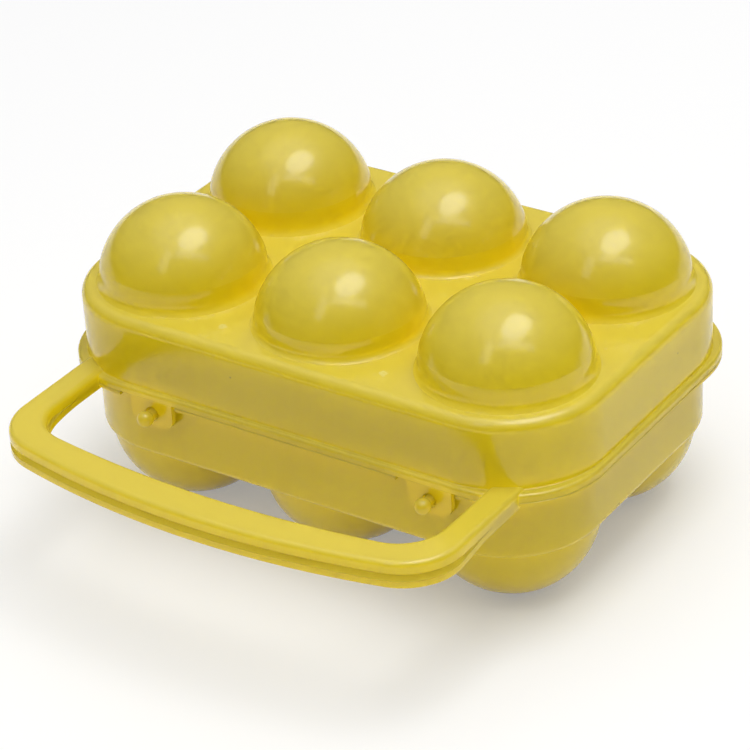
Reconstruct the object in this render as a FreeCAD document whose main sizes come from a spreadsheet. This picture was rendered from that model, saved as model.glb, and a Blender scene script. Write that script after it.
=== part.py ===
import FreeCAD, Part
import math
import os
import Sketcher

# Egg carrier for six eggs: two thin mouldings, a domed lid and a cupped base, which
# meet at their rims, turn on a snap hinge at the back and close on two button latches
# at the front. Each moulding carries one half of the handle. The origin lies on the
# table under the middle of the six feet, +X runs along a row of three eggs, -Y is the
# front with the handle, and +Z is up. All sizes are millimetres.

SIZES = [
    ("dome_radius", 24.0, "outside of a dome"),
    ("dome_gap", 4.0, "gap between neighbouring domes"),
    ("wall", 1.5, "wall of both mouldings"),
    ("parting_height", 44.0, "plane where the two rims meet"),
    ("lid_margin", 4.7, "lid wall beyond the outer domes"),
    ("lid_height", 22.3, "flat top of the lid above the parting plane"),
    ("plateau_round", 3.2, "round edge between the lid's wall and its top"),
    ("waist_step", 0.8, "waist of a dome in from its ball"),
    ("waist_round", 10.0, "easy curve between a dome's ball and its waist"),
    ("middle_drop", 1.0, "how much lower the two middle domes are"),
    ("skirt_rise", 3.35, "waist of a corner dome above the lid's top"),
    ("skirt_flare", 1.25, "how far the skirt spreads beyond the waist"),
    ("rim_ledge", 1.5, "edge of both rims beyond the lid's wall"),
    ("corner_step", 1.7, "rim corners tighter than the lid wall's corners"),
    ("lid_rim", 2.4, "thickness of the lid's rim"),
    ("lid_rim_round", 1.0, "round top edge of the lid's rim"),
    ("rim_foot", 0.4, "hollow round where the lid's wall meets its rim"),
    ("base_rim", 1.0, "thickness of the base's rim"),
    ("rim_chamfer", 0.25, "small chamfer on both sides of the seam"),
    ("base_inset", 2.7, "base wall in from the lid's wall"),
    ("floor_height", 22.6, "underside of the base between the cups"),
    ("floor_round", 2.5, "round edge between the base's wall and underside"),
    ("cup_ease", 0.2, "how much wider a cup is than a dome, from its axis"),
    ("foot_radius", 4.0, "flat foot under each cup"),
    ("arm_inset", 10.5, "outer face of a handle arm in from the lid's side wall"),
    ("arm_width", 8.2, "width of a handle arm"),
    ("root_depth", 12.7, "start of the arms behind the lid's front wall"),
    ("handle_length", 46.5, "front of the handle beyond the lid's front wall"),
    ("bar_width", 10.6, "front bar at its middle"),
    ("outer_bend", 17.0, "outer bend between arm and bar"),
    ("inner_bend", 13.0, "inner bend between arm and bar"),
    ("outer_bow", 253.6, "bow of the bar's front edge"),
    ("inner_bow", 311.7, "bow of the bar's inner edge"),
    ("grip_thickness", 3.3, "upper half of the handle"),
    ("grip_round", 1.6, "round top edges of the upper half"),
    ("spring_thickness", 2.3, "lower half of the handle"),
    ("spring_round", 0.8, "round lower edges of the lower half"),
    ("spring_gap", 2.2, "gap between the two halves along the front bar"),
    ("part_start", 8.3, "where the halves start to part, from the lid's front wall"),
    ("part_run", 23.0, "length over which the gap opens"),
    ("latch_inset", 7.15, "latches in from the outer egg centres"),
    ("tongue_width", 13.8, "latch tongue"),
    ("tongue_end", 4.2, "tongue below the stud's centre"),
    ("tongue_corner", 4.0, "round lower corners of a tongue"),
    ("stud_drop", 5.3, "stud centre below the parting plane"),
    ("stud_neck", 1.5, "radius of the stud's neck"),
    ("hole_clearance", 0.65, "tongue hole round the stud's neck"),
    ("stud_catch", 0.15, "how far the stud's ball stands out past the tongue's hole"),
    ("stud_slack", 0.7, "gap between a closed tongue and the ball in front of it"),
    ("notch_clearance", 2.3, "notch in the base's rim beside a tongue"),
    ("hinge_place", 30.0, "hinges left and right of the middle"),
    ("pivot_rise", 0.6, "hinge axis above the parting plane"),
    ("hinge_gap", 0.5, "gap between the rims and a hook's round back"),
    ("pin_radius", 1.5, "hinge pin, moulded with the lid"),
    ("pin_clearance", 0.06, "running fit of the pin in its hook"),
    ("hook_wall", 1.34, "wall of a hook round its bore"),
    ("hook_width", 8.0, "hinge hook on the base"),
    ("hook_clearance", 0.3, "gap between a hook and the ears beside it"),
    ("ear_width", 2.4, "hinge ear on the lid"),
    ("mouth_width", 2.2, "mouth that snaps over the pin"),
]

FOLLOWING_SIZES = [
    ("pitch", "2 * dome_radius + dome_gap", "distance between neighbouring eggs"),
    ("lid_offset", "dome_radius + lid_margin", "lid wall beyond the outer egg centres"),
    ("rim_offset", "lid_offset + rim_ledge", "both rims beyond the outer egg centres"),
    ("rim_corner", "lid_offset - corner_step", "corner radius of both rims"),
    ("base_offset", "lid_offset - base_inset", "base wall beyond the outer egg centres"),
    ("plateau_height", "parting_height + lid_height", "flat top of the lid"),
    ("dome_waist", "dome_radius - waist_step", "radius of a dome's waist"),
    ("waist_height", "sqrt((dome_radius - waist_round) ^ 2 - (dome_waist - waist_round) ^ 2)",
     "waist above the ball's centre"),
    ("dome_height", "plateau_height + skirt_rise - waist_height", "centre of a corner dome"),
    ("skirt_radius", "dome_waist + skirt_flare", "skirt where it meets the lid's top"),
    ("cup_radius", "dome_radius + cup_ease", "outside of a cup"),
    ("arm_offset", "lid_offset - arm_inset", "handle arm beyond the outer egg centres"),
    ("arm_root", "lid_offset - root_depth", "start of the arms before the front eggs"),
    ("handle_reach", "lid_offset + handle_length", "front of the handle before the front eggs"),
    ("closed_reach", "lid_offset + part_start", "start of the gap before the front eggs"),
    ("open_reach", "closed_reach + part_run", "full gap before the front eggs"),
    ("latch_place", "pitch - latch_inset", "latches left and right of the middle"),
    ("tongue_drop", "stud_drop + tongue_end", "tongue below the parting plane"),
    ("stud_head", "stud_neck + hole_clearance + stud_catch", "radius of the stud's ball"),
    ("stud_reach", "base_inset + stud_head + stud_slack", "ball centre in front of the base's wall"),
    ("pivot_height", "parting_height + pivot_rise", "hinge axis above the table"),
    ("knuckle_radius", "pin_radius + pin_clearance + hook_wall", "outside of hooks and ears"),
    ("pivot_reach", "knuckle_radius + hinge_gap", "hinge axis behind the rims"),
]

COLUMNS = (-1, 0, 1)
ROWS = (-0.5, 0.5)
SIDES = (-1, 1)
OVERCUT = 1.0
TOLERANCE = 0.001
DOWNWARD = -0.5

os.makedirs("parts", exist_ok=True)
document = FreeCAD.newDocument("egg_carrier")
sheet = document.addObject("Spreadsheet::Sheet", "Sizes")
entries = [(alias, str(number), meaning) for alias, number, meaning in SIZES]
entries += [(alias, f"={formula}", meaning) for alias, formula, meaning in FOLLOWING_SIZES]
for entry, (alias, content, meaning) in enumerate(entries, start=1):
    sheet.set(f"A{entry}", meaning)
    sheet.set(f"B{entry}", content)
    sheet.setAlias(f"B{entry}", alias)
document.recompute()


def measure(formula):
    """The number that a formula of sheet sizes gives now."""
    return float(sheet.evalExpression(formula))


def new_body(name):
    return document.addObject("PartDesign::Body", name)


def new_sketch(body, name, role):
    """An empty sketch on one of the body's own origin planes."""
    plane = next(item for item in body.Origin.OriginFeatures if item.Role == role)
    sketch = body.newObject("Sketcher::SketchObject", name)
    sketch.AttachmentSupport = [(plane, "")]
    sketch.MapMode = "FlatFace"
    return sketch


def shift(sketch, **formulas):
    """Move a sketch in its own axes by sheet formulas."""
    for axis, formula in formulas.items():
        sketch.setExpression(f"AttachmentOffset.Base.{axis}", formula)


def bind(sketch, kind, *where, formula):
    """Add a measured constraint and tie it to a sheet formula."""
    index = sketch.addConstraint(Sketcher.Constraint(kind, *where, measure(formula)))
    sketch.setExpression(f"Constraints[{index}]", formula)


def relate(sketch, kind, *where):
    sketch.addConstraint(Sketcher.Constraint(kind, *where))


def line(sketch, start, end):
    return sketch.addGeometry(Part.LineSegment(FreeCAD.Vector(*start, 0), FreeCAD.Vector(*end, 0)))


def arc(sketch, centre, radius, first, last):
    """An arc that runs anticlockwise between two angles in degrees."""
    circle = Part.Circle(FreeCAD.Vector(*centre, 0), FreeCAD.Vector(0, 0, 1), radius)
    return sketch.addGeometry(Part.ArcOfCircle(circle, math.radians(first), math.radians(last)))


def polygon(sketch, corners):
    """A closed outline of straight lines through corners given as sheet formulas."""
    points = [(measure(across), measure(up)) for across, up in corners]
    count = len(points)
    for index in range(count):
        line(sketch, points[index], points[(index + 1) % count])
    for index in range(count):
        relate(sketch, "Coincident", index, 2, (index + 1) % count, 1)
    for index, (across, up) in enumerate(corners):
        bind(sketch, "DistanceX", -1, 1, index, 1, formula=across)
        bind(sketch, "DistanceY", -1, 1, index, 1, formula=up)


def round_rectangle(body, name, half_x, half_y, corner, height):
    """A rectangle with round corners about the origin, at a height."""
    sketch = new_sketch(body, name, "XY_Plane")
    shift(sketch, z=height)
    x, y, radius = measure(half_x), measure(half_y), measure(corner)
    line(sketch, (radius - x, -y), (x - radius, -y))
    arc(sketch, (x - radius, radius - y), radius, 270, 360)
    line(sketch, (x, radius - y), (x, y - radius))
    arc(sketch, (x - radius, y - radius), radius, 0, 90)
    line(sketch, (x - radius, y), (radius - x, y))
    arc(sketch, (radius - x, y - radius), radius, 90, 180)
    line(sketch, (-x, y - radius), (-x, radius - y))
    arc(sketch, (radius - x, radius - y), radius, 180, 270)
    for index in range(8):
        relate(sketch, "Tangent", index, 2, (index + 1) % 8, 1)
    for index in (0, 4):
        relate(sketch, "Horizontal", index)
    for index in (2, 6):
        relate(sketch, "Vertical", index)
    for index in (3, 5, 7):
        relate(sketch, "Equal", 1, index)
    bind(sketch, "Radius", 1, formula=corner)
    bind(sketch, "DistanceX", -1, 1, 2, 1, formula=half_x)
    bind(sketch, "DistanceX", 6, 1, -1, 1, formula=half_x)
    bind(sketch, "DistanceY", -1, 1, 4, 1, formula=half_y)
    bind(sketch, "DistanceY", 0, 1, -1, 1, formula=half_y)
    return sketch


def pad(body, name, sketch, length, both_ways=False):
    feature = body.newObject("PartDesign::Pad", name)
    feature.Profile = sketch
    feature.setExpression("Length", length)
    if both_ways:
        feature.SideType = "Symmetric"
    document.recompute()
    return feature


def slab(body, name, offset, corner, low, high):
    """A plate or block with the carrier's plan, between two heights."""
    sketch = round_rectangle(body, name + "_plan", f"Sizes.pitch + {offset}",
                             f"Sizes.pitch / 2 + {offset}", corner, low)
    return pad(body, name, sketch, f"({high}) - ({low})")


def level_edges(shape, height, wanted=lambda edge: True):
    """Names of the edges that lie flat at a height."""
    names = []
    for index, edge in enumerate(shape.Edges, start=1):
        box = edge.BoundBox
        flat = abs(box.ZMin - height) < TOLERANCE and abs(box.ZMax - height) < TOLERANCE
        if flat and wanted(edge):
            names.append(f"Edge{index}")
    return names


def within_lid_wall(edge):
    """Whether an edge lies within the lid wall's plan, not out on the rim."""
    box = edge.BoundBox
    across = max(abs(box.XMin), abs(box.XMax)) - measure("Sizes.pitch + Sizes.lid_offset")
    along = max(abs(box.YMin), abs(box.YMax)) - measure("Sizes.pitch / 2 + Sizes.lid_offset")
    return max(across, along) < TOLERANCE


def beyond_lid_wall(edge):
    return not within_lid_wall(edge)


def dress(body, kind, name, base, edges, formula):
    """Round or chamfer named edges of a feature."""
    feature = body.newObject(f"PartDesign::{kind}", name)
    feature.Base = (base, edges)
    feature.setExpression("Radius" if kind == "Fillet" else "Size", formula)
    document.recompute()
    return feature


def revolve(body, name, sketch):
    feature = body.newObject("PartDesign::Revolution", name)
    feature.Profile = sketch
    feature.ReferenceAxis = (sketch, ["V_Axis"])
    feature.Angle = 360.0
    document.recompute()
    return feature


def egg_places():
    """Name, column and row of each egg; the row is counted in pitches from the middle."""
    for row in ROWS:
        for column in COLUMNS:
            side = "front" if row < 0 else "back"
            yield f"{side}_{column + 2}", column, row


def dome(body, name, column, row, inset):
    """One egg dome: a ball that eases into a waist and a skirt that flares onto the lid's top."""
    drop = "0" if column else "Sizes.middle_drop"
    centre = f"(Sizes.dome_height - {drop})"
    ball = f"Sizes.dome_radius - {inset}"
    ease = f"Sizes.waist_round - {inset}"
    waist = f"Sizes.dome_waist - {inset}"
    foot = f"Sizes.skirt_radius - {inset}"
    skirt_foot = f"Sizes.plateau_height - {inset} - {centre}"
    sketch = new_sketch(body, name + "_profile", "XZ_Plane")
    shift(sketch, x=f"Sizes.pitch * {column}", y=centre, z=f"Sizes.pitch * {-row}")
    radius, small, waist_x, foot_x = measure(ball), measure(ease), measure(waist), measure(foot)
    high, low = measure("Sizes.waist_height"), measure(skirt_foot)
    lean = math.degrees(math.atan2(high, waist_x - small))
    flare = ((foot_x - waist_x) ** 2 + (high - low) ** 2) / (2 * (foot_x - waist_x))
    turn = math.degrees(math.asin((high - low) / flare))
    bottom = low - measure("Sizes.wall")
    arc(sketch, (0, 0), radius, lean, 90)
    arc(sketch, (waist_x - small, high), small, 0, lean)
    arc(sketch, (waist_x + flare, high), flare, 180, 180 + turn)
    line(sketch, (foot_x, low), (foot_x, bottom))
    line(sketch, (foot_x, bottom), (0, bottom))
    line(sketch, (0, bottom), (0, radius))
    relate(sketch, "Tangent", 0, 1, 1, 2)
    relate(sketch, "Tangent", 1, 1, 2, 1)
    relate(sketch, "Coincident", 2, 2, 3, 1)
    relate(sketch, "Coincident", 3, 2, 4, 1)
    relate(sketch, "Coincident", 4, 2, 5, 1)
    relate(sketch, "Coincident", 5, 2, 0, 2)
    for index in (3, 5):
        relate(sketch, "Vertical", index)
    relate(sketch, "Horizontal", 4)
    relate(sketch, "Horizontal", 1, 3, 1, 1)
    relate(sketch, "Coincident", 0, 3, -1, 1)
    relate(sketch, "PointOnObject", 5, 1, -2)
    bind(sketch, "Radius", 0, formula=ball)
    bind(sketch, "Radius", 1, formula=ease)
    bind(sketch, "DistanceX", -1, 1, 1, 1, formula=waist)
    bind(sketch, "DistanceX", -1, 1, 2, 2, formula=foot)
    bind(sketch, "DistanceY", -1, 1, 2, 2, formula=skirt_foot)
    bind(sketch, "DistanceY", 3, 2, 3, 1, formula="Sizes.wall")
    return revolve(body, name, sketch)


def cup(body, name, column, row, inset, top):
    """One egg cup: a ball cut flat at its foot, carried up to a height inside the base."""
    centre = "sqrt(Sizes.cup_radius ^ 2 - Sizes.foot_radius ^ 2)"
    ball = f"Sizes.cup_radius - {inset}"
    sketch = new_sketch(body, name + "_profile", "XZ_Plane")
    shift(sketch, x=f"Sizes.pitch * {column}", z=f"Sizes.pitch * {-row}")
    radius, middle, low, high = measure(ball), measure(centre), measure(inset), measure(top)
    foot = math.sqrt(radius ** 2 - (middle - low) ** 2)
    line(sketch, (0, low), (foot, low))
    arc(sketch, (0, middle), radius, -math.degrees(math.acos(foot / radius)), 0)
    line(sketch, (radius, middle), (radius, high))
    line(sketch, (radius, high), (0, high))
    line(sketch, (0, high), (0, low))
    relate(sketch, "Coincident", 0, 2, 1, 1)
    relate(sketch, "Tangent", 1, 2, 2, 1)
    relate(sketch, "Coincident", 2, 2, 3, 1)
    relate(sketch, "Coincident", 3, 2, 4, 1)
    relate(sketch, "Coincident", 4, 2, 0, 1)
    relate(sketch, "Horizontal", 0)
    relate(sketch, "Horizontal", 3)
    relate(sketch, "Vertical", 2)
    relate(sketch, "PointOnObject", 0, 1, -2)
    relate(sketch, "PointOnObject", 3, 2, -2)
    relate(sketch, "PointOnObject", 1, 3, -2)
    bind(sketch, "Radius", 1, formula=ball)
    bind(sketch, "DistanceY", -1, 1, 1, 3, formula=centre)
    bind(sketch, "DistanceY", -1, 1, 0, 1, formula=inset)
    bind(sketch, "DistanceY", -1, 1, 3, 1, formula=top)
    return revolve(body, name, sketch)


def handle_plan(body, name, height):
    """The handle seen from above: two arms and a bowed front bar with round bends."""
    sketch = new_sketch(body, name, "XY_Plane")
    shift(sketch, z=height)
    outer_x = "Sizes.pitch + Sizes.arm_offset"
    inner_x = f"{outer_x} - Sizes.arm_width"
    root_y = "Sizes.pitch / 2 + Sizes.arm_root"
    outer_y = "Sizes.pitch / 2 + Sizes.handle_reach"
    inner_y = f"{outer_y} - Sizes.bar_width"
    root = -measure(root_y)
    edges = ((outer_x, outer_y, "Sizes.outer_bend", "Sizes.outer_bow"),
             (inner_x, inner_y, "Sizes.inner_bend", "Sizes.inner_bow"))
    for across, reach, bend, bow in edges:
        x, front, small, large = measure(across), -measure(reach), measure(bend), measure(bow)
        bow_y = front + large
        bend_y = bow_y - math.sqrt((large - small) ** 2 - (x - small) ** 2)
        lean = math.degrees(math.asin((x - small) / (large - small)))
        first = line(sketch, (x, root), (x, bend_y))
        arc(sketch, (x - small, bend_y), small, lean - 90, 0)
        arc(sketch, (0, bow_y), large, -90 - lean, lean - 90)
        arc(sketch, (small - x, bend_y), small, 180, 270 - lean)
        line(sketch, (-x, bend_y), (-x, root))
        relate(sketch, "Tangent", first, 2, first + 1, 2)
        relate(sketch, "Tangent", first + 1, 1, first + 2, 2)
        relate(sketch, "Tangent", first + 2, 1, first + 3, 2)
        relate(sketch, "Tangent", first + 3, 1, first + 4, 1)
        relate(sketch, "Vertical", first)
        relate(sketch, "Vertical", first + 4)
        relate(sketch, "Equal", first + 1, first + 3)
        relate(sketch, "PointOnObject", first + 2, 3, -2)
        bind(sketch, "Radius", first + 1, formula=bend)
        bind(sketch, "Radius", first + 2, formula=bow)
        bind(sketch, "DistanceX", -1, 1, first, 1, formula=across)
        bind(sketch, "DistanceX", first + 4, 2, -1, 1, formula=across)
        bind(sketch, "DistanceY", -1, 1, first + 2, 3, formula=f"{bow} - ({reach})")
        bind(sketch, "DistanceY", first, 1, -1, 1, formula=root_y)
        bind(sketch, "DistanceY", first + 4, 2, -1, 1, formula=root_y)
    outer, inner = measure(outer_x), measure(inner_x)
    for start, end, first, second in ((outer, inner, (0, 1), (5, 1)), (-outer, -inner, (4, 2), (9, 2))):
        closing = line(sketch, (start, root), (end, root))
        relate(sketch, "Coincident", closing, 1, *first)
        relate(sketch, "Coincident", closing, 2, *second)
    return sketch


def bent_profile(body, name):
    """The plate from the side: flat at the root, an easy double bend, flat along the bar."""
    sketch = new_sketch(body, name, "YZ_Plane")
    root = f"Sizes.pitch / 2 + Sizes.arm_root - {OVERCUT}"
    closed = "Sizes.pitch / 2 + Sizes.closed_reach"
    opened = "Sizes.pitch / 2 + Sizes.open_reach"
    tip = f"Sizes.pitch / 2 + Sizes.handle_reach + {OVERCUT}"
    levels = []
    for sunk in ("0", "Sizes.spring_thickness"):
        levels.append((f"Sizes.parting_height - {sunk}",
                       f"Sizes.parting_height - Sizes.spring_gap - {sunk}"))
    start, bend, finish, front = (-measure(place) for place in (root, closed, opened, tip))
    run, gap = bend - finish, measure("Sizes.spring_gap")
    radius = (run ** 2 + gap ** 2) / (4 * gap)
    turn = math.degrees(math.asin(run / 2 / radius))
    for high_formula, low_formula in levels:
        high, low = measure(high_formula), measure(low_formula)
        first = line(sketch, (start, high), (bend, high))
        arc(sketch, (bend, high - radius), radius, 90, 90 + turn)
        arc(sketch, (finish, low + radius), radius, 270, 270 + turn)
        line(sketch, (finish, low), (front, low))
        relate(sketch, "Tangent", first, 2, first + 1, 1)
        relate(sketch, "Tangent", first + 1, 2, first + 2, 2)
        relate(sketch, "Tangent", first + 2, 1, first + 3, 1)
        relate(sketch, "Equal", first + 1, first + 2)
        relate(sketch, "Horizontal", first)
        relate(sketch, "Horizontal", first + 3)
        bind(sketch, "DistanceY", -1, 1, first, 1, formula=high_formula)
        bind(sketch, "DistanceY", -1, 1, first + 3, 2, formula=low_formula)
        bind(sketch, "DistanceX", first, 1, -1, 1, formula=root)
        bind(sketch, "DistanceX", first, 2, -1, 1, formula=closed)
        bind(sketch, "DistanceX", first + 3, 1, -1, 1, formula=opened)
        bind(sketch, "DistanceX", first + 3, 2, -1, 1, formula=tip)
    for place, end, index in ((start, 1, 0), (front, 2, 3)):
        upper, lower = (measure(pair[index // 3]) for pair in levels)
        closing = line(sketch, (place, upper), (place, lower))
        relate(sketch, "Coincident", closing, 1, index, end)
        relate(sketch, "Coincident", closing, 2, index + 4, end)
    return sketch


def underside_rim(shape):
    """Names of the edges round a plate's underside, without its straight root."""
    downward = []
    for face in shape.Faces:
        u_low, u_high, v_low, v_high = face.ParameterRange
        if face.normalAt((u_low + u_high) / 2, (v_low + v_high) / 2).z < DOWNWARD:
            downward.append(face)
    names = []
    for index, edge in enumerate(shape.Edges, start=1):
        owners = [face for face in downward if any(edge.isSame(other) for other in face.Edges)]
        if len(owners) == 1 and edge.BoundBox.YLength > TOLERANCE:
            names.append(f"Edge{index}")
    return names


def primitive(kind, name, sizes, place):
    """A box, cylinder or ball whose sizes and place are sheet formulas."""
    item = document.addObject(f"Part::{kind}", name)
    for field, formula in sizes.items():
        item.setExpression(field, formula)
    for axis, formula in place.items():
        item.setExpression(f"Placement.Base.{axis}", formula)
    return item


def cross_rod(name, radius, length, place):
    """A cylinder along +X."""
    item = primitive("Cylinder", name, {"Radius": radius, "Height": length}, place)
    item.Placement.Rotation = FreeCAD.Rotation(FreeCAD.Vector(0, 1, 0), 90)
    return item


def front_rod(name, radius, length, place):
    """A cylinder that points to the front, along -Y."""
    item = primitive("Cylinder", name, {"Radius": radius, "Height": length}, place)
    item.Placement.Rotation = FreeCAD.Rotation(FreeCAD.Vector(1, 0, 0), 90)
    return item


def fuse(name, items):
    item = document.addObject("Part::MultiFuse", name)
    item.Shapes = items
    return item


def cut(name, base, tool):
    item = document.addObject("Part::Cut", name)
    item.Base = base
    item.Tool = tool
    return item


BASE_RIM_HEIGHT = "Sizes.parting_height - Sizes.base_rim"
PIVOT_Y = "Sizes.pitch / 2 + Sizes.rim_offset + Sizes.pivot_reach"
LID_FRONT = "Sizes.pitch / 2 + Sizes.lid_offset"
BASE_FRONT = "Sizes.pitch / 2 + Sizes.base_offset"


# Lid, outside: the block under the domes, the rim round its foot and the six domes

lid_form = new_body("lid_form")
block = slab(lid_form, "lid_block", "Sizes.lid_offset", "Sizes.lid_offset",
             "Sizes.parting_height", "Sizes.plateau_height")
top_edges = level_edges(block.Shape, measure("Sizes.plateau_height"))
dress(lid_form, "Fillet", "lid_top_round", block, top_edges, "Sizes.plateau_round")
rim_top = "Sizes.parting_height + Sizes.lid_rim"
lid_rim = slab(lid_form, "lid_rim_plate", "Sizes.rim_offset", "Sizes.rim_corner",
               "Sizes.parting_height", rim_top)
lid_rim = dress(lid_form, "Fillet", "lid_rim_round", lid_rim,
                level_edges(lid_rim.Shape, measure(rim_top), beyond_lid_wall),
                "Sizes.lid_rim_round")
lid_rim = dress(lid_form, "Fillet", "lid_wall_foot", lid_rim,
                level_edges(lid_rim.Shape, measure(rim_top), within_lid_wall), "Sizes.rim_foot")
dress(lid_form, "Chamfer", "lid_seam", lid_rim,
      level_edges(lid_rim.Shape, measure("Sizes.parting_height")), "Sizes.rim_chamfer")
for name, column, row in egg_places():
    dome(lid_form, f"dome_{name}", column, row, "0")

# Lid, inside: the same forms one wall smaller

lid_hollow = new_body("lid_hollow")
inner_offset = "(Sizes.lid_offset - Sizes.wall)"
ceiling = "Sizes.plateau_height - Sizes.wall"
hollow = slab(lid_hollow, "lid_cavity", inner_offset, inner_offset,
              f"Sizes.parting_height - {OVERCUT}", ceiling)
dress(lid_hollow, "Fillet", "lid_cavity_round", hollow,
      level_edges(hollow.Shape, measure(ceiling)), "Sizes.plateau_round - Sizes.wall")
for name, column, row in egg_places():
    dome(lid_hollow, f"dome_inside_{name}", column, row, "Sizes.wall")

# Upper half of the handle

upper_grip = new_body("upper_grip")
grip_top = "Sizes.parting_height + Sizes.grip_thickness"
grip_pad = pad(upper_grip, "grip_plate", handle_plan(upper_grip, "grip_plan", "Sizes.parting_height"),
               "Sizes.grip_thickness")
root_line = -measure("Sizes.pitch / 2 + Sizes.arm_root")
grip_edges = level_edges(grip_pad.Shape, measure(grip_top),
                         lambda edge: edge.BoundBox.YMin < root_line - TOLERANCE)
dress(upper_grip, "Fillet", "grip_rounding", grip_pad, grip_edges, "Sizes.grip_round")

# Latch tongues: the lid's front wall carried down over the base, with a hole for the stud

tongues = []
tongue_holes = []
for side in SIDES:
    mark = "left" if side < 0 else "right"
    middle = f"Sizes.latch_place * {side}"
    tongue_body = new_body(f"tongue_{mark}")
    tongue_sketch = new_sketch(tongue_body, f"tongue_{mark}_front", "XZ_Plane")
    shift(tongue_sketch, x=middle, y="Sizes.parting_height", z=f"{LID_FRONT} - Sizes.wall")
    polygon(tongue_sketch, [
        ("-Sizes.tongue_width / 2", "-Sizes.tongue_drop"),
        ("Sizes.tongue_width / 2", "-Sizes.tongue_drop"),
        ("Sizes.tongue_width / 2", "Sizes.lid_rim"),
        ("-Sizes.tongue_width / 2", "Sizes.lid_rim"),
    ])
    tongue_pad = pad(tongue_body, f"tongue_{mark}_plate", tongue_sketch, "Sizes.wall")
    tip = measure("Sizes.parting_height - Sizes.tongue_drop")
    corner_edges = [
        f"Edge{index}" for index, edge in enumerate(tongue_pad.Shape.Edges, start=1)
        if abs(edge.BoundBox.ZMax - tip) < TOLERANCE and edge.BoundBox.XLength < TOLERANCE
    ]
    dress(tongue_body, "Fillet", f"tongue_{mark}_corners", tongue_pad, corner_edges,
          "Sizes.tongue_corner")
    tongues.append(tongue_body)
    tongue_holes.append(front_rod(
        f"tongue_{mark}_hole", "Sizes.stud_neck + Sizes.hole_clearance",
        f"Sizes.wall + {2 * OVERCUT}",
        {"x": middle, "y": f"-({LID_FRONT} - Sizes.wall - {OVERCUT})",
         "z": "Sizes.parting_height - Sizes.stud_drop"}))

# Hinge on the lid: a pair of ears with a pin between them, left and right

hinge_lid = []
for side in SIDES:
    mark = "left" if side < 0 else "right"
    inner_ear = "Sizes.hook_width / 2 + Sizes.hook_clearance"
    for ear_side in SIDES:
        ear_x = (f"Sizes.hinge_place * {side} + ({inner_ear} + Sizes.ear_width / 2) * {ear_side}"
                 " - Sizes.ear_width / 2")
        ear = f"ear_{mark}_{'outer' if ear_side == side else 'inner'}"
        hinge_lid.append(cross_rod(f"{ear}_round", "Sizes.knuckle_radius", "Sizes.ear_width",
                                   {"x": ear_x, "y": PIVOT_Y, "z": "Sizes.pivot_height"}))
        hinge_lid.append(primitive("Box", f"{ear}_arm", {
            "Length": "Sizes.ear_width",
            "Width": f"{PIVOT_Y} - ({LID_FRONT})",
            "Height": "Sizes.lid_rim",
        }, {"x": ear_x, "y": LID_FRONT, "z": "Sizes.parting_height"}))
    hinge_lid.append(cross_rod(
        f"pin_{mark}", "Sizes.pin_radius", f"2 * ({inner_ear}) + Sizes.ear_width",
        {"x": f"Sizes.hinge_place * {side} - ({inner_ear}) - Sizes.ear_width / 2",
         "y": PIVOT_Y, "z": "Sizes.pivot_height"}))

lid_solid = fuse("lid_solid", [lid_form, upper_grip] + tongues + hinge_lid)
lid_space = fuse("lid_space", [lid_hollow] + tongue_holes)
lid = cut("lid", lid_solid, lid_space)

# Base, outside: the straight wall, the rim round its top and the six cups below

base_form = new_body("base_form")
trough = slab(base_form, "base_block", "Sizes.base_offset", "Sizes.base_offset",
              "Sizes.floor_height", "Sizes.parting_height")
dress(base_form, "Fillet", "base_floor_round", trough,
      level_edges(trough.Shape, measure("Sizes.floor_height")), "Sizes.floor_round")
for name, column, row in egg_places():
    cup(base_form, f"cup_{name}", column, row, "0", BASE_RIM_HEIGHT)

base_rim_body = new_body("base_rim_form")
base_rim = slab(base_rim_body, "base_rim_plate", "Sizes.rim_offset", "Sizes.rim_corner",
                BASE_RIM_HEIGHT, "Sizes.parting_height")
dress(base_rim_body, "Chamfer", "base_seam", base_rim,
      level_edges(base_rim.Shape, measure("Sizes.parting_height")), "Sizes.rim_chamfer")

# Base, inside: one wall smaller, open at the top

base_hollow = new_body("base_hollow")
base_inner = "(Sizes.base_offset - Sizes.wall)"
base_floor = "Sizes.floor_height + Sizes.wall"
basin = slab(base_hollow, "base_cavity", base_inner, base_inner,
             base_floor, f"Sizes.parting_height + {OVERCUT}")
dress(base_hollow, "Fillet", "base_cavity_round", basin,
      level_edges(basin.Shape, measure(base_floor)), "Sizes.floor_round - Sizes.wall")
for name, column, row in egg_places():
    cup(base_hollow, f"cup_inside_{name}", column, row, "Sizes.wall", BASE_RIM_HEIGHT)

# Lower half of the handle: a springy plate that parts from the upper half towards the front

bent_plate = new_body("bent_plate")
pad(bent_plate, "bent_plate_sheet", bent_profile(bent_plate, "bent_plate_side"),
    f"2 * (Sizes.pitch + Sizes.arm_offset + {OVERCUT})", both_ways=True)
lower_grip = new_body("lower_grip")
lower_depth = "Sizes.spring_thickness + Sizes.spring_gap"
pad(lower_grip, "lower_grip_prism",
    handle_plan(lower_grip, "lower_grip_outline", f"Sizes.parting_height - ({lower_depth})"),
    lower_depth)
bend = lower_grip.newObject("PartDesign::Boolean", "lower_grip_bend")
bend.Type = "Common"
bend.addObjects([bent_plate])
document.recompute()
dress(lower_grip, "Fillet", "lower_grip_round", bend, underside_rim(bend.Shape), "Sizes.spring_round")

# Latch studs: a neck through the tongue's hole and a ball in front of it

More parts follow.
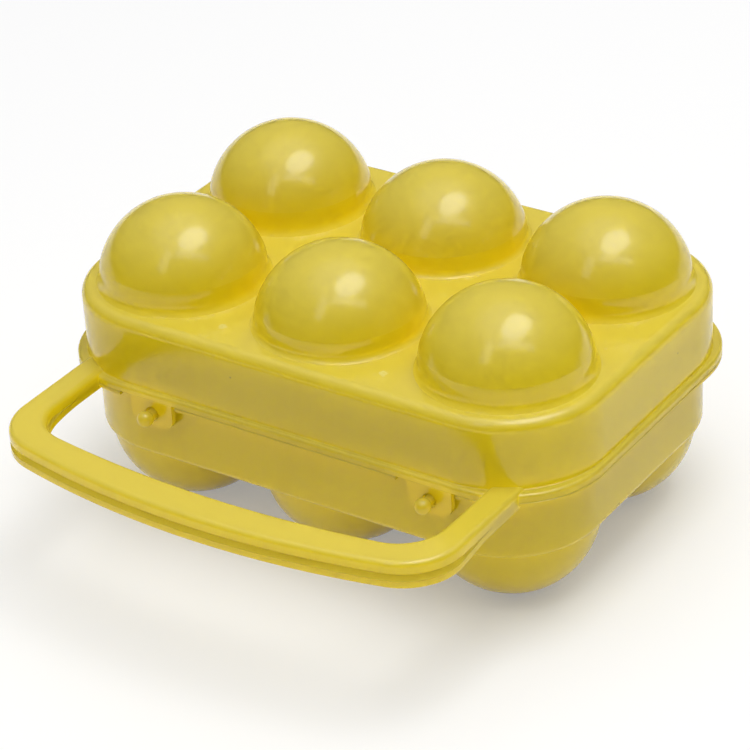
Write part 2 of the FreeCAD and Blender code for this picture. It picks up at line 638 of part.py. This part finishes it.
studs = []
notches = []
for side in SIDES:
    mark = "left" if side < 0 else "right"
    middle = f"Sizes.latch_place * {side}"
    level = "Sizes.parting_height - Sizes.stud_drop"
    studs.append(front_rod(f"stud_{mark}_neck", "Sizes.stud_neck", "Sizes.stud_reach + Sizes.wall / 2",
                           {"x": middle, "y": f"-({BASE_FRONT} - Sizes.wall / 2)", "z": level}))
    studs.append(primitive("Sphere", f"stud_{mark}_head", {"Radius": "Sizes.stud_head"},
                           {"x": middle, "y": f"-({BASE_FRONT} + Sizes.stud_reach)", "z": level}))
    half_notch = "Sizes.tongue_width / 2 + Sizes.notch_clearance"
    notches.append(primitive("Box", f"notch_{mark}", {
        "Length": f"2 * ({half_notch})",
        "Width": f"Sizes.rim_offset - Sizes.base_offset + {OVERCUT}",
        "Height": f"Sizes.base_rim + {2 * OVERCUT}",
    }, {"x": f"{middle} - ({half_notch})",
        "y": f"-(Sizes.pitch / 2 + Sizes.rim_offset + {OVERCUT})",
        "z": f"{BASE_RIM_HEIGHT} - {OVERCUT}"}))

# Hinge on the base: an open hook between each pair of ears

hooks = []
for side in SIDES:
    mark = "left" if side < 0 else "right"
    hook_x = f"Sizes.hinge_place * {side} - Sizes.hook_width / 2"
    knuckle = cross_rod(f"hook_{mark}_round", "Sizes.knuckle_radius", "Sizes.hook_width",
                        {"x": hook_x, "y": PIVOT_Y, "z": "Sizes.pivot_height"})
    neck_foot = "Sizes.pivot_height - Sizes.knuckle_radius"
    neck = primitive("Box", f"hook_{mark}_neck", {
        "Length": "Sizes.hook_width",
        "Width": f"{PIVOT_Y} - ({BASE_FRONT})",
        "Height": f"Sizes.parting_height - ({neck_foot})",
    }, {"x": hook_x, "y": BASE_FRONT, "z": neck_foot})
    bore = cross_rod(f"hook_{mark}_bore", "Sizes.pin_radius + Sizes.pin_clearance",
                     f"Sizes.hook_width + {2 * OVERCUT}",
                     {"x": f"{hook_x} - {OVERCUT}", "y": PIVOT_Y, "z": "Sizes.pivot_height"})
    mouth = primitive("Box", f"hook_{mark}_mouth", {
        "Length": f"Sizes.hook_width + {2 * OVERCUT}",
        "Width": f"Sizes.knuckle_radius + {OVERCUT}",
        "Height": "Sizes.mouth_width",
    }, {"x": f"{hook_x} - {OVERCUT}", "y": PIVOT_Y,
        "z": "Sizes.pivot_height - Sizes.mouth_width / 2"})
    hooks.append(cut(f"hook_{mark}", fuse(f"hook_{mark}_blank", [knuckle, neck]),
                     fuse(f"hook_{mark}_opening", [bore, mouth])))

base_solid = fuse("base_solid", [base_form, base_rim_body, lower_grip] + studs + hooks)
base_space = fuse("base_space", [base_hollow] + notches)
base = cut("base", base_solid, base_space)

document.recompute()

for item in document.Objects:
    if "Invalid" in item.State or "Error" in item.State:
        raise RuntimeError(f"{item.Name} failed: {item.State}")
for label, item in (("lid", lid), ("base", base)):
    item.Label = label
    item.Placement = FreeCAD.Placement()
    shape = item.Shape
    if shape.isNull() or not shape.isValid() or len(shape.Solids) != 1:
        raise RuntimeError(f"{label} is not one valid solid")
    print(label, round(shape.Volume), shape.BoundBox)
for label, item in (("lid", lid), ("base", base)):
    item.Shape.exportStep(f"parts/{label}.step")
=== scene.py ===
import math

import bpy
from mathutils import Matrix, Vector

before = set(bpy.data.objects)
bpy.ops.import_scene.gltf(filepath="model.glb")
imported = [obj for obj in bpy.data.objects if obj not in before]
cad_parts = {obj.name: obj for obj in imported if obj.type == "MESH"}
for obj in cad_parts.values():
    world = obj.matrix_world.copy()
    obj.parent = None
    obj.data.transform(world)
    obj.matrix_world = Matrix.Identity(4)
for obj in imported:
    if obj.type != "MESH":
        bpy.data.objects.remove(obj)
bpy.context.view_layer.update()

MM = 0.001

# Colours, linear

YELLOW = (0.73, 0.55, 0.008, 1.0)
DEEP_YELLOW = (0.715, 0.532, 0.006, 1.0)
# Painted sheen: the paler yellow of faces that look up stands in for the reflection of the light
# overhead
PAINTED_SHEEN_YELLOW = (0.662, 0.527, 0.050, 1.0)
GATE_WHITE = (0.74, 0.66, 0.22, 1.0)
SPECK_BROWN = (0.20, 0.12, 0.02, 1.0)
FLOOR_WHITE = (0.95, 0.95, 0.95, 1.0)
LIGHT_WHITE = (1.0, 1.0, 1.0, 1.0)

# The plastic: its gloss, how far light spreads in it, and its patterns, with scales in 1/m

PLASTIC_IOR = 1.46
PLASTIC_SPECULAR = 0.62
SCATTER_DEPTH = 11 * MM
SCATTER_SHARES = (1.0, 1.0, 0.8)
GLOSS_SPAN, GLOSS_LOW = 0.06, 0.14
CLOUDS = {"scale": 40.0, "detail": 4.0, "roughness": 0.6}
CLOUD_GAIN, CLOUD_OFFSET = 1.6, -0.55
STREAKS = {"scale": 1.0, "detail": 2.0}
STREAK_STRETCH = (260.0, 260.0, 25.0)
STREAK_GAIN, STREAK_OFFSET = 1.2, -0.35
SKIN = {"scale": 160.0, "detail": 3.0, "roughness": 0.45}
SKIN_STRENGTH = 0.35
SKIN_HEIGHT = 0.02 * MM

# How far a face looks up, from where the painted sheen starts to where it is full

SHEEN_FROM, SHEEN_FULL = 0.1, 0.9

# Marks on the plastic: centres, and radii at which a mark is full and at which it has gone

GATES = ((-0.0258, -0.0445, 0.0663), (0.0258, -0.0445, 0.0663))
GATE_DISC = (0.6 * MM, 1.6 * MM)
GATE_PIP = (0.1 * MM, 0.7 * MM)
GATE_COVER, GATE_PIP_COVER = 0.8, -0.4
GATE_RAGGED = 1.6 * MM
GATE_OUTLINE = {"scale": 900.0, "detail": 2.0}
SPECKS = ((0.0807, 0.0135, 0.0576), (-0.0167, -0.0547, 0.0583))
SPECK_SIZE = (0.1 * MM, 0.45 * MM)
SPECK_COVER = 0.5

# The floor, and the share of plain white laid over it where it is seen

FLOOR_SIZE = 12.0
FLOOR_ROUGHNESS = 0.9
FLOOR_LIFT = 0.3

# The camera, fitted to the photograph

CAMERA_PLACE = Vector((0.42881, -0.62191, 0.48443))
CAMERA_RIGHT = Vector((0.834385, 0.548741, -0.051825))
CAMERA_UP = Vector((-0.243887, 0.451882, 0.858092))
FOCAL_PIXELS = 3155.3
PHOTO_PIXELS = 750
SENSOR = 36.0

# The light: directions lean from straight up by degrees to the right and to the back

OBJECT_MIDDLE = Vector((0.0, 0.0, 0.06))
LAMP_DISTANCE = 1.6
TENT_TOP = (-10, 8)
TENT_EDGE_COSINE = 0.15
TENT_STRENGTH = 0.665
GLOW_TOP = (2, 3)
GLOW_EDGE = 45
GLOW_CORE = 10
GLOW_STRENGTH = 1.03

# Sockets of a Mix node that blends colours

MIX_SHARE, MIX_UNDER, MIX_OVER, MIX_RESULT = 0, 6, 7, 2


def add_node(tree, kind, inputs=None, **settings):
    """A node with its settings, and with inputs that are values or outputs of other nodes."""
    node = tree.nodes.new(kind)
    for name, value in settings.items():
        setattr(node, name, value)
    for socket, value in (inputs or {}).items():
        if isinstance(value, bpy.types.NodeSocket):
            tree.links.new(value, node.inputs[socket])
        else:
            node.inputs[socket].default_value = value
    return node


def new_material(name):
    """A material without nodes, and its tree."""
    material = bpy.data.materials.new(name)
    material.use_nodes = True
    material.node_tree.nodes.clear()
    return material, material.node_tree


def combined(tree, operation, first, second):
    """Two values added or multiplied."""
    node = add_node(tree, "ShaderNodeMath", {0: first, 1: second}, operation=operation)
    return node.outputs["Value"]


def scaled(tree, value, factor, offset=0.0):
    """The value times a factor plus an offset."""
    node = add_node(tree, "ShaderNodeMath", {0: value, 1: factor, 2: offset},
                    operation="MULTIPLY_ADD")
    return node.outputs["Value"]


def ramped(tree, value, start, end, low=0.0, high=1.0, kind="SMOOTHSTEP"):
    """Low up to where the value is start, high from where it is end, and a ramp between them."""
    node = add_node(tree, "ShaderNodeMapRange",
                    {"Value": value, "From Min": start, "From Max": end,
                     "To Min": low, "To Max": high},
                    interpolation_type=kind)
    return node.outputs["Result"]


def round_mark(tree, point, centre, size):
    """One within the first radius about the centre, fading to nothing at the second."""
    gap = add_node(tree, "ShaderNodeVectorMath", {0: point, 1: centre}, operation="DISTANCE")
    return ramped(tree, gap.outputs["Value"], *size, low=1.0, high=0.0)


def tinted(tree, under, over, share):
    """The colour under, covered by the share of the colour over."""
    mix = add_node(tree, "ShaderNodeMix",
                   {MIX_SHARE: share, MIX_UNDER: under, MIX_OVER: over},
                   data_type="RGBA")
    return mix.outputs[MIX_RESULT]


def noise(tree, place, scale, detail, roughness=0.5):
    """A noise texture read at the place."""
    return add_node(tree, "ShaderNodeTexNoise",
                    {"Vector": place, "Scale": scale, "Detail": detail, "Roughness": roughness})


def gate_marks(tree, place, colour):
    """Blushed rings round the two gates on the lid, their outlines a little ragged."""
    ragged = noise(tree, place, **GATE_OUTLINE)
    shifted = add_node(tree, "ShaderNodeVectorMath",
                       {0: ragged.outputs["Color"], 1: (GATE_RAGGED,) * 3, 2: place},
                       operation="MULTIPLY_ADD")
    point = shifted.outputs["Vector"]
    for centre in GATES:
        spot = [value + GATE_RAGGED / 2 for value in centre]
        pip = scaled(tree, round_mark(tree, point, spot, GATE_PIP), GATE_PIP_COVER, GATE_COVER)
        ring = combined(tree, "MULTIPLY", round_mark(tree, point, spot, GATE_DISC), pip)
        colour = tinted(tree, colour, GATE_WHITE, ring)
    return colour


def moulded_plastic():
    """Glossy, slightly translucent yellow plastic with faint flow marks, specks, gate marks and a
    painted sheen on faces that look up.
    """
    material, tree = new_material("yellow_plastic")
    coordinates = add_node(tree, "ShaderNodeTexCoord")
    place = coordinates.outputs["Object"]

    # Broad clouds of colour, and streaks where the melt ran up and down the walls
    clouds = noise(tree, place, **CLOUDS).outputs["Fac"]
    upright = add_node(tree, "ShaderNodeMapping", {"Vector": place, "Scale": STREAK_STRETCH})
    streaks = noise(tree, upright.outputs["Vector"], **STREAKS).outputs["Fac"]
    flow = combined(tree, "ADD",
                    scaled(tree, clouds, CLOUD_GAIN, CLOUD_OFFSET),
                    scaled(tree, streaks, STREAK_GAIN, STREAK_OFFSET))
    colour = tinted(tree, YELLOW, DEEP_YELLOW, flow)

    # Faces that look up are paler: a painted sheen, the reflection of the light overhead painted
    # into the colour
    facing = add_node(tree, "ShaderNodeSeparateXYZ", {"Vector": coordinates.outputs["Normal"]})
    painted_sheen = ramped(tree, facing.outputs["Z"], SHEEN_FROM, SHEEN_FULL)
    colour = tinted(tree, colour, PAINTED_SHEEN_YELLOW, painted_sheen)

    colour = gate_marks(tree, place, colour)

    # Dark specks burnt into the plastic
    for centre in SPECKS:
        speck = round_mark(tree, place, centre, SPECK_SIZE)
        colour = tinted(tree, colour, SPECK_BROWN, scaled(tree, speck, SPECK_COVER))

    # A faint unevenness of the skin
    skin = noise(tree, place, **SKIN)
    bump = add_node(tree, "ShaderNodeBump",
                    {"Strength": SKIN_STRENGTH, "Distance": SKIN_HEIGHT,
                     "Height": skin.outputs["Fac"]})

    # The gloss varies softly with the clouds
    shader = add_node(tree, "ShaderNodeBsdfPrincipled",
                      {"Base Color": colour,
                       "Roughness": scaled(tree, clouds, GLOSS_SPAN, GLOSS_LOW),
                       "Normal": bump.outputs["Normal"],
                       "IOR": PLASTIC_IOR,
                       "Specular IOR Level": PLASTIC_SPECULAR,
                       "Subsurface Weight": 1.0,
                       "Subsurface Radius": SCATTER_SHARES,
                       "Subsurface Scale": SCATTER_DEPTH},
                      subsurface_method="BURLEY")
    add_node(tree, "ShaderNodeOutputMaterial", {"Surface": shader.outputs["BSDF"]})
    return material


def floor_material():
    """Matt white that keeps shadows, lifted where the camera, a reflection or glass shows it."""
    material, tree = new_material("pale_floor")
    matt = add_node(tree, "ShaderNodeBsdfPrincipled",
                    {"Base Color": FLOOR_WHITE, "Roughness": FLOOR_ROUGHNESS,
                     "Specular IOR Level": 0.0})
    white = add_node(tree, "ShaderNodeEmission")
    rays = add_node(tree, "ShaderNodeLightPath").outputs
    seen = combined(tree, "ADD", rays["Is Camera Ray"], rays["Is Glossy Ray"])
    seen = combined(tree, "ADD", seen, rays["Is Transmission Ray"])
    mix = add_node(tree, "ShaderNodeMixShader",
                   {0: scaled(tree, seen, FLOOR_LIFT),
                    1: matt.outputs["BSDF"],
                    2: white.outputs["Emission"]})
    add_node(tree, "ShaderNodeOutputMaterial", {"Surface": mix.outputs["Shader"]})
    return material


def lean(right, back):
    """A direction that leans from straight up by degrees to the right and to the back."""
    angle = math.radians(math.hypot(right, back))
    turn = math.atan2(back, right)
    return Vector((math.sin(angle) * math.cos(turn),
                   math.sin(angle) * math.sin(turn),
                   math.cos(angle)))


def soft_box(name, shape, place, size, radiance, distance=LAMP_DISTANCE, roll=0.0):
    """A lamp at a lean as seen from the object, with its apparent size in degrees and radiance."""
    width, depth = (2 * distance * math.tan(math.radians(angle) / 2) for angle in size)
    fill = math.pi / 4 if shape == "ELLIPSE" else 1.0
    data = bpy.data.lights.new(name, "AREA")
    data.shape = shape
    data.size = width
    data.size_y = depth
    data.energy = radiance * 4 * width * depth * fill
    lamp = bpy.data.objects.new(name, data)
    toward = lean(*place)
    lamp.location = OBJECT_MIDDLE + toward * distance
    across = Vector((math.cos(math.radians(roll)), math.sin(math.radians(roll)), 0.0))
    across = (across - toward * across.dot(toward)).normalized()
    up = toward.cross(across)
    lamp.rotation_euler = Matrix((across, up, toward)).transposed().to_euler()
    bpy.context.scene.collection.objects.link(lamp)


# The two mouldings

plastic = moulded_plastic()
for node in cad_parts.values():
    for slot in node.material_slots:
        slot.material = plastic

# Floor

bpy.ops.mesh.primitive_plane_add(size=FLOOR_SIZE, location=(0, 0, 0))
floor = bpy.context.object
floor.name = "floor"
floor.data.materials.append(floor_material())

# Camera, at the photograph's angle

camera_data = bpy.data.cameras.new("camera")
camera_data.sensor_width = SENSOR
camera_data.lens = FOCAL_PIXELS * SENSOR / PHOTO_PIXELS
camera = bpy.data.objects.new("camera", camera_data)
axes = Matrix((CAMERA_RIGHT, CAMERA_UP, CAMERA_RIGHT.cross(CAMERA_UP))).transposed()
camera.matrix_world = Matrix.Translation(CAMERA_PLACE) @ axes.to_4x4()
bpy.context.scene.collection.objects.link(camera)
bpy.context.scene.camera = camera

# Lamps: the bright box overhead, the strips of its lower edge and tail, and a dim front wall

soft_box("main_box", "ELLIPSE", place=(13, 2), size=(28, 40), radiance=3.1)
soft_box("edge_strip", "RECTANGLE", place=(27, -17), size=(42, 8), radiance=1.6, roll=28)
soft_box("front_strip", "RECTANGLE", place=(-1, -42), size=(11, 27), radiance=1.3)
soft_box("front_wall", "RECTANGLE", place=(-15, -74), size=(80, 20), radiance=0.1, distance=1.9)

# The tent round the object: bright overhead and to the left, dark low down, with a glow on top

world = bpy.data.worlds.new("studio")
bpy.context.scene.world = world
world.use_nodes = True
sky = world.node_tree
sky.nodes.clear()
direction = add_node(sky, "ShaderNodeTexCoord").outputs["Generated"]
toward_tent = add_node(sky, "ShaderNodeVectorMath", {0: direction, 1: lean(*TENT_TOP)},
                       operation="DOT_PRODUCT")
tent = ramped(sky, toward_tent.outputs["Value"], TENT_EDGE_COSINE, 1.0,
              high=TENT_STRENGTH, kind="LINEAR")
toward_glow = add_node(sky, "ShaderNodeVectorMath", {0: direction, 1: lean(*GLOW_TOP)},
                       operation="DOT_PRODUCT")
glow = ramped(sky, toward_glow.outputs["Value"],
              math.cos(math.radians(GLOW_EDGE)), math.cos(math.radians(GLOW_CORE)),
              high=GLOW_STRENGTH)
shade = add_node(sky, "ShaderNodeBackground",
                 {"Color": LIGHT_WHITE, "Strength": combined(sky, "ADD", tent, glow)})
add_node(sky, "ShaderNodeOutputWorld", {"Surface": shade.outputs["Background"]})

bpy.context.scene.view_settings.view_transform = "Standard"
